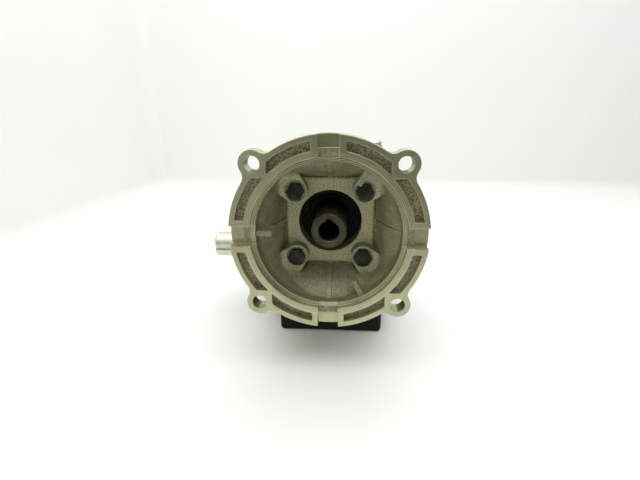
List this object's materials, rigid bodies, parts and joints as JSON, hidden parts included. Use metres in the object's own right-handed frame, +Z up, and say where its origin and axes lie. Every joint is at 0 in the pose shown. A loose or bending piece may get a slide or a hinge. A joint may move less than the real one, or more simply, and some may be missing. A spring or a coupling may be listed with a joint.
{
  "type": "worm gear reducer",
  "caption": "Right-angle worm gear reducer with a round bolt-on motor flange, a hollow keyed input shaft and a solid keyed output shaft on one side.",
  "frame": {"origin": "middle of the flat base, below the crossing of the two shafts seen from above", "axes": "+Z up; -Y out of the motor flange along the input shaft; -X out along the output shaft"},
  "size_m": [0.1936, 0.1751, 0.1875],
  "materials": {
    "slate_paint": "dark slate machine enamel over cast iron, semi-gloss",
    "cast_aluminium": "as-cast grey tan aluminium, with turned faces on the rim, register and wall",
    "bright_steel": "ground and polished shafting",
    "ground_steel": "hardened grey steel, turned and ground",
    "black_oxide": "black oxide, oiled",
    "bearing_steel": "ground bearing steel",
    "gear_bronze": "hobbed bronze",
    "cast_iron": "machined grey iron",
    "gasket_fibre": "compressed fibre, matt",
    "seal_rubber": "nitrile rubber over a steel case",
    "zinc_plate": "bright zinc plate"
  },
  "bodies": {
    "gearbox": {"housing": "slate_paint", "left_cover": "slate_paint", "right_cover": "slate_paint", "rear_cover": "slate_paint", "motor_flange": "cast_aluminium", "flange_bolt_1": "black_oxide", "left_cover_bolt_1": "black_oxide", "right_cover_bolt_1": "black_oxide", "rear_cover_bolt_1": "black_oxide", "flange_bolt_2": "black_oxide", "left_cover_bolt_2": "black_oxide", "right_cover_bolt_2": "black_oxide", "rear_cover_bolt_2": "black_oxide", "flange_bolt_3": "black_oxide", "left_cover_bolt_3": "black_oxide", "right_cover_bolt_3": "black_oxide", "rear_cover_bolt_3": "black_oxide", "flange_bolt_4": "black_oxide", "left_cover_bolt_4": "black_oxide", "right_cover_bolt_4": "black_oxide", "rear_cover_bolt_4": "black_oxide", "front_worm_bearing_outer_ring": "bearing_steel", "rear_worm_bearing_outer_ring": "bearing_steel", "left_output_bearing_outer_ring": "bearing_steel", "right_output_bearing_outer_ring": "bearing_steel", "flange_gasket": "gasket_fibre", "left_cover_gasket": "gasket_fibre", "right_cover_gasket": "gasket_fibre", "rear_cover_gasket": "gasket_fibre", "input_oil_seal": "seal_rubber", "output_oil_seal": "seal_rubber", "vent_plug": "zinc_plate", "level_plug": "zinc_plate", "drain_plug": "zinc_plate"},
    "output": {"output_shaft": "bright_steel", "worm_wheel_rim": "gear_bronze", "wheel_hub": "cast_iron", "wheel_key": "bright_steel", "wheel_spacer": "ground_steel", "left_output_bearing_inner_ring": "bearing_steel", "right_output_bearing_inner_ring": "bearing_steel"},
    "input": {"input_worm_shaft": "ground_steel", "front_worm_bearing_inner_ring": "bearing_steel", "rear_worm_bearing_inner_ring": "bearing_steel"},
    "left_output_cage": {"left_output_bearing_cage": "gear_bronze"},
    "right_output_cage": {"right_output_bearing_cage": "gear_bronze"},
    "front_worm_cage": {"front_worm_bearing_cage": "gear_bronze"},
    "rear_worm_cage": {"rear_worm_bearing_cage": "gear_bronze"}
  },
  "joints": [
    {"name": "output_turn", "type": "hinge", "parent": "gearbox", "child": "output", "pos_m": [0, 0, 0.06995], "axis": [1, 0, 0], "continuous": true},
    {"name": "input_turn", "type": "hinge", "parent": "gearbox", "child": "input", "pos_m": [0, 0, 0.1144], "axis": [0, 1, 0], "continuous": true},
    {"name": "left_output_cage_turn", "type": "hinge", "parent": "gearbox", "child": "left_output_cage", "pos_m": [0, 0, 0.06995], "axis": [1, 0, 0], "continuous": true},
    {"name": "right_output_cage_turn", "type": "hinge", "parent": "gearbox", "child": "right_output_cage", "pos_m": [0, 0, 0.06995], "axis": [1, 0, 0], "continuous": true},
    {"name": "front_worm_cage_turn", "type": "hinge", "parent": "gearbox", "child": "front_worm_cage", "pos_m": [0, 0, 0.1144], "axis": [0, 1, 0], "continuous": true},
    {"name": "rear_worm_cage_turn", "type": "hinge", "parent": "gearbox", "child": "rear_worm_cage", "pos_m": [0, 0, 0.1144], "axis": [0, 1, 0], "continuous": true}
  ],
  "couplings": [
    {"joint": "output_turn", "follows": "input_turn", "ratio": 0.05},
    {"joint": "left_output_cage_turn", "follows": "input_turn", "ratio": 0.020326},
    {"joint": "right_output_cage_turn", "follows": "input_turn", "ratio": 0.020326},
    {"joint": "front_worm_cage_turn", "follows": "input_turn", "ratio": 0.4343},
    {"joint": "rear_worm_cage_turn", "follows": "input_turn", "ratio": 0.3985}
  ]
}
